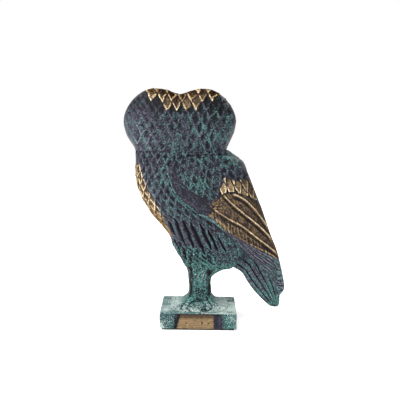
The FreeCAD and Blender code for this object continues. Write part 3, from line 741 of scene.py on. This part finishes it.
# Feather lines in profile: coverts' tips, the three quills and the lower edge of the rubbed field.
COVERT_TIPS = [(-18, 97), (-12, 93.4), (-5.7, 87.5), (0.5, 84), (6, 82), (10, 81.5), (14, 85),
               (20, 86.5), (26, 85), (33, 82), (38, 79)]
QUILL_HIGH = [(20.7, 85.2), (27.5, 81.8), (32.2, 77.5), (39, 69), (43, 62.7), (46.5, 56), (50, 48)]
QUILL_MIDDLE = [(14.5, 85.2), (19.1, 80.2), (27.6, 72.9), (36.2, 65.6), (40.7, 61.2), (45.4, 55.6),
                (50.7, 44.8)]
QUILL_LOW = [(8, 77), (11.3, 74.4), (18.1, 69.9), (27.8, 64.3), (31.8, 61), (42.2, 52.5),
             (47.9, 47.5), (51, 44)]
QUILL_STARTS = (20.7, 14.5, 8.5)
FIELD_FOOT = [(3, 72.5), (8.5, 69.9), (14.8, 63.7), (24, 57.6), (34.8, 51.4), (44, 46.3),
              (50.3, 42.3)]
FLIGHT_FEATHERS = 7.0


def level_of(line, x):
    """Level of a feather line above each place along the bird."""
    places, heights = zip(*line)
    return through(x, places, heights)


def stripes(across, period, points, seed):
    """Fine barbs: a sine of the distance across them, bent and broken by random height."""
    bent = across + 0.8 * rough(points, 3.0, seed)
    return np.sin(2 * np.pi * bent / period) * (0.6 + 0.4 * rough(points, 1.8, seed + 1))


def wing_shell(side):
    """Rings of a wing's shell, its outer columns, and how far each place is from its edges.

    Each ring crosses the outer face from the leading to the trailing edge, and comes back on
    the inner one. The outer face is a superellipse at each level; near every edge it turns in
    along a quarter circle. Of the three distances, the first is in radii of that turn."""
    station = np.linspace(0, len(WING_LEAD) - 1, WING_ROWS)
    lead, trail = ([through(station, range(len(edge)), axis) for axis in zip(*edge)]
                   for edge in (WING_LEAD, WING_TRAIL))
    t = np.linspace(0, 1, OUTER_COLUMNS)
    out_way = t - 0.06 * np.sin(2 * np.pi * t)
    across = np.concatenate([out_way, np.linspace(1, 0, INNER_COLUMNS + 2)[1:-1]])
    x = lead[0][:, None] + (trail[0] - lead[0])[:, None] * across
    z = lead[1][:, None] + (trail[1] - lead[1])[:, None] * across
    chord = np.hypot(trail[0] - lead[0], trail[1] - lead[1])[:, None]
    from_lead, from_trail = across * chord, (1 - across) * chord
    down = walked(np.stack(lead, -1))[:, None]
    inner = np.maximum(torso_side(x, z) - WING_BITE, through(z, GAP_LEVELS, GAP))
    swell = [through(z, SWELL_LEVELS, line) for line in (SWELL_FRONT, SWELL_BACK, SWELL_HALF)]
    outer = np.maximum(body_side(x, *swell, WING_POWER), inner + WING_BITE + WING_LIP)
    edge = np.minimum(from_lead / 1.5, from_trail / 1.8)
    edge = np.minimum(edge, np.minimum(down + 0.4, down[-1] - down + 0.4) / 1.5)
    turned = np.sqrt(1 - (1 - np.clip(edge, 0, 1))**2)
    face = np.arange(len(across)) < OUTER_COLUMNS
    y = np.where(face, inner + (outer - inner) * turned, inner)
    return np.stack([x, side * y, z], -1), face, edge, from_lead, from_trail


def wing(node, side, seed):
    """One wing: its shell, with the relief and the patina of its feathers."""
    rings, face, edge, from_lead, from_trail = wing_shell(side)
    x, _, z = np.moveaxis(rings, -1, 0)
    tips, high, middle, low, foot, front = (level_of(line, x) for line in
        (COVERT_TIPS, QUILL_HIGH, QUILL_MIDDLE, QUILL_LOW, FIELD_FOOT, WING_LEAD))

    # Where each kind of feather grows: coverts, the rubbed field, flight feathers, bare shoulder.
    coverts = step(z - tips, -0.6, 0.4)
    field = (1 - coverts) * step(z - foot, -0.5, 0.5)
    field *= step(x + 3.5 * rough(rings, 2.5, seed + 32), 3.5, 9.0)
    flight = (1 - coverts) * step(foot - z, -0.5, 0.5)
    plain = np.clip(1 - coverts - field - flight, 0, 1)

    # Coverts are scales; above the quills the lowest are long pointed flames, rubbed bright.
    warp = 0.7 * rough(rings, 5, seed + 20) + 0.3 * rough(rings, 2, seed + 22)
    scale = lozenges(x * 0.94 + z * 0.34 + warp, 0.34 * x - z * 0.94 + warp,
                     4.9, 8.4, 0.9, 0.5, seed + 21)
    flame = lozenges(0.97 * x + 0.24 * z + 0.7 * warp,
                     0.24 * x - 0.97 * z + 4 * rough(rings, 12, seed + 25),
                     4.7, 17.0, 1.1, 0.3, seed + 26)
    ragged = 2.5 * rough(rings, 4, seed + 27) + 5 * flame["own"]
    flames = coverts * step(z - tips + ragged, 9.0, 7.0)
    flames *= within(x, 10.5, 13.5, 33, 40)
    relief = coverts * ((1 - flames) * scale["height"] + flames * flame["height"])

    # Each quill is a ridge with a groove under it, and the web dips on both its sides.
    quills = 0 * x
    for line, start in zip((high, middle, low), QUILL_STARTS):
        below = (line - z) * 0.78
        here = step(x, start - 1, start + 2) * field
        ridge = bell(below, -0.1 * rough(rings, 4, seed + 30), 0.5)
        quills = np.maximum(quills, ridge * here)
        dip = np.where(below < 0, step(below, -5.5, -0.5), step(below, 0.9, 0.2))
        relief += here * (0.55 * ridge - 0.55 * bell(below, 1.7, 0.55) + 0.35 * dip)
    barb = stripes(x * 0.86 + z * 0.5, 1.5, rings, seed)
    vermicule = stripes(x * 0.97 + z * 0.2, 2.0, rings, seed + 5) * step(low - z, 1.0, 2.5)
    relief += field * (0.09 * barb + 0.22 * vermicule) * (1 - quills)
    relief += 0.45 * bell(z - foot, 0.6, 0.9) * step(x, 8, 14) * field
    hammered = bell(x, 10.5, 3.0) * bell(z, 80, 6.5)
    relief += hammered * (1.1 * np.abs(rough(rings, 1.7, seed + 9)) - 0.3) * (1 - coverts)

    # Flight feathers fan out from the field's foot to the leading edge.
    lane = (foot - z) / np.maximum(foot - front, 0.5) * FLIGHT_FEATHERS
    place_in = lane - np.floor(lane)
    blade = 0.5 * place_in - 0.6 * bell(place_in, 0, 0.13) + 0.22 * bell(place_in, 0.5, 0.1)
    blade *= step(x, -4, 16) * step(foot - front, 1.0, 4.0)
    vane = stripes(z * 0.68 + x * 0.73, 1.9, rings, seed + 12)
    relief += flight * (blade + 0.09 * vane)

    # The leading edge has a raised lip; a line of painted shade follows the shoulder's edge under
    # the head.
    shoulder = step(z, 58, 66)
    lip, under_lip = bell(from_lead, 1.2, 0.7) * shoulder, bell(from_lead, 3.0, 0.9) * shoulder
    crease = bell(from_trail, 0.4, 0.7) * within(x, -17, -13, 11, 15) * step(z, 98, 103)
    relief += 0.7 * lip - 0.4 * under_lip + mould_skin(rings, 0.10, 0.06, seed + 2)
    relief *= face * step(edge, 0.15, 0.9)

    # How strongly the painted shade and the verdigris of the scales show, place by place.
    shade_and_verdigris_strength = 0.6 + 0.55 * rough(rings, 7, seed + 23)
    dust = bell(x, -2, 9) * bell(z, 90, 7)
    strip = bell(from_trail, 1.3, 0.7) * within(x, 9, 14, 22, 27)
    rub = np.maximum(field * (0.66 + 0.34 * quills), 0.85 * flames * (1 - flame["shadow"]))
    rub = np.maximum(rub, 0.9 * hammered * step(z - tips, 1.0, -1.0)) * face
    green = coverts * (0.2 + 0.4 * dust + shade_and_verdigris_strength * (0.38 * scale["web"] - 0.25 * scale["pit"]))
    green += flight * (0.12 + 0.3 * step(x, 34, 50) + 0.2 * place_in - 0.15 * vane)
    green += 0.08 * plain + 1.2 * lip - 0.3 * under_lip - 0.8 * crease + 0.7 * strip
    green += 0.15 * step(z, 98, 108) - 0.5 * rub
    # Painted light and shade: highlights on the flames' rims and the quills, shade in the scales'
    # and flames' shadows and pits, and along the shoulder's edge under the head.
    shade = coverts * (1 - flames) * shade_and_verdigris_strength * painted_scale_shading(scale, 0.5)
    shade += flames * (0.1 + 0.7 * flame["rim"] - 1.3 * flame["shadow"] + 0.5 * flame["own"])
    shade += 0.15 * quills * (1 + 1.5 * rough(rings, 1.5, seed + 24)) - 0.2 * field * (1 - quills)
    shade += flight * (1.15 + 0.7 * vane - 1.8 * bell(place_in, 0, 0.15)) - 0.35 * plain
    shade += 0.7 * under_lip - 1.8 * crease - 0.3 * lip
    casting(node, rings, relief, green, rub, shade * face, body_finish)


wing("left_wing", -1, 41)
wing("right_wing", 1, 61)

# ------------------------------
# Head. A thick heart-shaped casting turned a quarter round on the neck, so that its scaled
# back lies along one side of the bird and its plain owl's face looks out over the other.
# ------------------------------
HEAD_COLUMNS, HEAD_ROWS = 480, 200
HEAD_HALF, HEAD_POWER, HEAD_CENTRE = 19.0, 2.4, 18.0
THROAT_IN = 1.2  # how far the throat lies in from the heart's own line
# Half of the heart: out from its middle line and up from the neck's joint, round from the notch.
HEART = [(0, 35.2), (3.5, 36.2), (8, 37.7), (13, 38.6), (17.3, 38.6), (21.8, 37.5), (25.7, 35.1),
         (29.8, 31.4), (32.9, 27), (35.0, 22), (35.5, 18), (34.9, 13.6), (33.4, 9), (31.3, 4.6),
         (29.2, 0), (26, -5.5), (20, -10.5), (11, -14.5), (0, -16)]
half_heart = np.array(HEART)
whole = np.concatenate([half_heart, half_heart[-2:0:-1] * (-1, 1), half_heart[:1]])
rim_x, rim_z = walk(whole, np.linspace(0, 1, HEAD_COLUMNS, endpoint=False)).T
rim_x = rim_x + THROAT_IN * (rim_x < 0) * bell(rim_z, 1, 4.5)

# From the near pole out to the rim and in again to the far pole.
sweep = np.linspace(0.004, np.pi - 0.004, HEAD_ROWS)
sweep = sweep + 0.16 * np.sin(2 * sweep)
deep, wide = (part[:, None] for part in superellipse(sweep, HEAD_POWER))
x = HEAD_MIDDLE + wide * rim_x
z = NECK + HEAD_CENTRE + wide * (rim_z - HEAD_CENTRE)
rings = np.stack([x, -HEAD_HALF * deep + 0 * x, z], -1)
y = rings[..., 1]
side_x, up = x - HEAD_MIDDLE, z - NECK
aside = np.abs(side_x)

# The back of the head: scales, combed barbs on its left part, and a rubbed band on its top.
SCALE_WIDE, SCALE_TALL = 5.9, 10.6
SHIFT, TOP_ROW = 4.55, 40.4  # where the lattice of scales starts
back = step(-y, -1.0, 3.0)
spread = side_x * (1 + 0.006 * (20 - up)) - 0.05 * np.minimum(side_x, 0) * (20 - up) / 10
warp = 0.8 * rough(rings, 6, 84) + 0.4 * rough(rings, 2, 85)
scale = lozenges(spread + warp + SHIFT, TOP_ROW - up + warp, SCALE_WIDE, SCALE_TALL, 1.0, 0.5, 83)
middle_x, middle_up = scale["middle"][0] - SHIFT, TOP_ROW - scale["middle"][1]
band = step(middle_up - 28.3 - 0.011 * (middle_x - 1.3)**2, -1.2, 0.8)
band *= within(middle_x, -22.5, -20.5, 22.5, 24.5)
crown = step(wide, 0.955, 0.98) * step(up, 30, 33) * within(side_x, -21.5, -19, 20, 23)
band = np.maximum(band, crown)
margin = step(wide, 0.93, 0.985)
combed = step(side_x, -9, -14) * within(up, 17, 22, 31, 36)
comb = np.sin(2 * np.pi * (0.8 * side_x + 0.6 * up) / 3.3 + 0.8 * rough(rings, 4, 86))
# How strongly the painted shade and the verdigris of the scales show, place by place.
shade_and_verdigris_strength = (0.6 + 0.6 * rough(rings, 5, 87)) * (0.55 + 0.45 * step(side_x, -14, 6))
relief = back * scale["height"] * (1 - 0.5 * margin) * (1 - 0.7 * combed)
relief += back * 0.12 * combed * comb

# The face: two round discs of barbs, each with a lidded eye, and a short hooked beak between.
DISC, DISC_OUT, DISC_UP = 12.8, 15.2, 19.0
EYE, EYE_RISE, PUPIL = 4.4, 2.3, 2.0
BARBS = 44  # radians of the barbs' sine in one radian round the eye
front = step(y, 1.0, 4.0)
from_eye = np.hypot(aside - DISC_OUT, up - DISC_UP)
turn_eye = np.arctan2(up - DISC_UP, aside - DISC_OUT)
eye = EYE_RISE * np.sqrt(np.clip(1 - (from_eye / EYE)**2, 0, 1))
lid = 0.8 * bell(from_eye, EYE + 0.5, 0.7)
pupil = 0.5 * step(from_eye, PUPIL, PUPIL - 0.5)
disc_rim = 0.9 * bell(from_eye, DISC, 1.1)
bowl = -1.1 * within(from_eye, EYE, EYE + 3, DISC - 3, DISC)
barbs = 0.22 * np.sin(turn_eye * BARBS) * within(from_eye, EYE + 1, EYE + 3, DISC - 1.5, DISC)
beak_line = np.clip(1 - (side_x / (2.9 * step(up, 6.5, 14)))**2, 0, 1) * step(up, 6.5, 8.0)
beak = 4.6 * np.sqrt(beak_line) * step(up, 21.5, 11)
brow = 1.3 * bell(up, 26.5 + 0.16 * aside, 1.7) * step(aside, 26, 16)
beyond = step(from_eye, DISC + 0.6, DISC + 2.5) * step(aside, 1.5, 3.5)
relief += front * (eye + lid - pupil + disc_rim + bowl + barbs + beak + brow)
relief += front * 0.8 * beyond * scale["height"] + mould_skin(rings, 0.14, 0.08, 81)
relief *= 1 - 0.85 * margin * back
relief = JOINT_RELIEF + (relief - JOINT_RELIEF) * step(up, -0.05, 0.5)
rub = 0.9 * back * band + (1 - back) * step(up, 33, 36.5)
rub = np.clip(rub + front * (step(beak, 1.5, 3.5) + 0.8 * step(eye, 0.6, 1.8)), 0, 1)
green = 0.02 + 0.25 * step(up, 28, 17) + 0.12 * step(side_x - up, -25, 15)
green += shade_and_verdigris_strength * (0.42 * scale["web"] - 0.25 * scale["pit"]) * step(up, 33, 24)
green = back * (1 - 0.7 * margin) * (green + 0.05 * step(side_x, -10, -25))
green += front * (0.42 + 0.3 * beyond * scale["web"] - 0.35 * step(eye, 0.2, 1.2)) - 0.6 * rub
# Painted light and shade of the scales; on the rubbed band, painted glints on their lower left
# sides and painted shade between them.
shade = (1 - band) * (shade_and_verdigris_strength * painted_scale_shading(scale, 0.6) - 0.9 * step(up, 20, 29))
shade += band * (0.5 * scale["glint"] - 0.05 - 1.2 * scale["shadow"] - 0.1 * scale["pit"])
shade += 0.15 * combed * comb + 0.35 * step(up, 20, 10) + 0.6 * step(side_x, -10, -24)
rings[..., 2] = np.maximum(rings[..., 2], NECK)
casting("head", rings, relief, green, rub, back * shade, body_finish)

# ------------------------------
# Studio. A pale floor and backdrop, soft lights, and the camera level with the head,
# looking a little down.
# ------------------------------
FLOOR_COLOUR, BACKDROP_COLOUR = "#f4f4f2", "#ffffff"
PULP_SCALE, FLOOR_HALF = 3.0, 1.5  # patches of pulp in a metre, and metres
floor_finish, tree, shader, _ = grained("studio_paper", FLOOR_COLOUR, BACKDROP_COLOUR, PULP_SCALE)
shader.inputs["Roughness"].default_value = 0.9
shader.inputs["Emission Color"].default_value = linear(BACKDROP_COLOUR)
shader.inputs["Emission Strength"].default_value = 0.25  # lit from below, as on a light table
floor_mesh = bpy.data.meshes.new("studio_floor")
floor_mesh.from_pydata([(across * FLOOR_HALF, along * FLOOR_HALF, 0)
                        for across, along in ((-1, -1), (1, -1), (1, 1), (-1, 1))],
                       [], [(0, 1, 2, 3)])
floor = placed("studio_floor", floor_mesh)
floor_mesh.materials.append(floor_finish)

# White to look at, but lighting the bird less, so that the lamps give it its modelling.
world = bpy.data.worlds.new("studio_air")
world.use_nodes = True
tree = world.node_tree
seen = add(tree, "ShaderNodeLightPath", {}).outputs["Is Camera Ray"]
air_strength = add(tree, "ShaderNodeMapRange", {"Value": seen, "To Min": 0.42, "To Max": 1.0})
tree.nodes["Background"].inputs["Color"].default_value = linear(BACKDROP_COLOUR)
tree.links.new(air_strength.outputs[0], tree.nodes["Background"].inputs["Strength"])
bpy.context.scene.world = world
bpy.context.scene.view_settings.view_transform = "Standard"

sun = bpy.data.lights.new("daylight_through_a_scrim", "SUN")
sun.energy = 2.8
sun.angle = np.radians(70)
sun_holder = placed("daylight_through_a_scrim", sun)
sun_holder.rotation_euler = Vector((0.45, 0.55, -1.0)).to_track_quat("-Z", "Y").to_euler()


def lamp(name, place, aim, size, power):
    """A square soft light at a place, turned to face its aim; all in metres and watts."""
    light = bpy.data.lights.new(name, "AREA")
    light.size = size
    light.energy = power
    holder = placed(name, light)
    holder.location = place
    facing = (Vector(aim) - Vector(place)).to_track_quat("-Z", "Y")
    holder.rotation_euler = facing.to_euler()


MIDDLE = (0.0, 0.0, 0.085)
lamp("key_from_the_left", (-0.50, -0.50, 0.60), MIDDLE, 0.12, 5.0)
lamp("fill_from_the_right", (0.75, -0.50, 0.45), MIDDLE, 0.6, 2.0)
lamp("rim_from_behind", (0.10, 0.70, 0.70), MIDDLE, 0.5, 4.0)

CAMERA_PLACE = (0.0052, -0.480, 0.131)
CAMERA_TURNS = ((0.58, "Z"), (83.84, "X"), (0.55, "Z"))  # degrees about each axis
view = bpy.data.cameras.new("catalogue_camera")
view.lens = 67.8
view.sensor_width = 36.0
camera = placed("catalogue_camera", view)
stand = Matrix.Translation(CAMERA_PLACE)
for degrees, axis in CAMERA_TURNS:
    stand = stand @ Matrix.Rotation(np.radians(degrees), 4, axis)
camera.matrix_world = stand
bpy.context.scene.camera = camera
